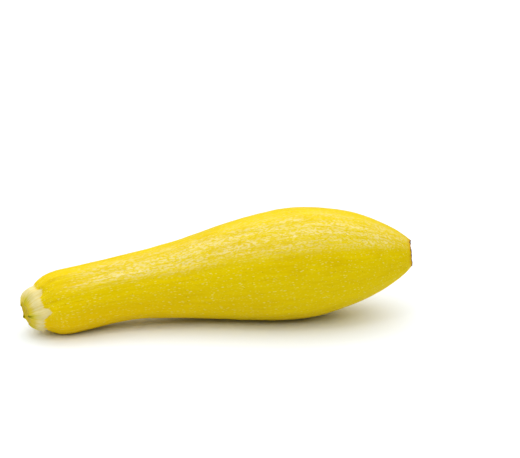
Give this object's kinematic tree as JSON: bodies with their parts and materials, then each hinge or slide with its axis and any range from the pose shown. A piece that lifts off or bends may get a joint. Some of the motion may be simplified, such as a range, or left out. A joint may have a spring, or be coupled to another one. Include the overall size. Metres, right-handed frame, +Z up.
{
  "type": "straightneck squash",
  "caption": "Whole yellow straightneck summer squash lying on its side, with a slim neck, a trimmed pale stem end and a corky blossom end.",
  "frame": {"origin": "under the middle of the fruit, on the surface that it rests on", "axes": "+X from the trimmed stem end towards the blossom end, +Z up"},
  "size_m": [0.1886, 0.0542, 0.0544],
  "materials": {
    "skin": "satin",
    "corky_scar": "matte"
  },
  "bodies": {
    "root": {"squash": "skin"}
  },
  "joints": []
}
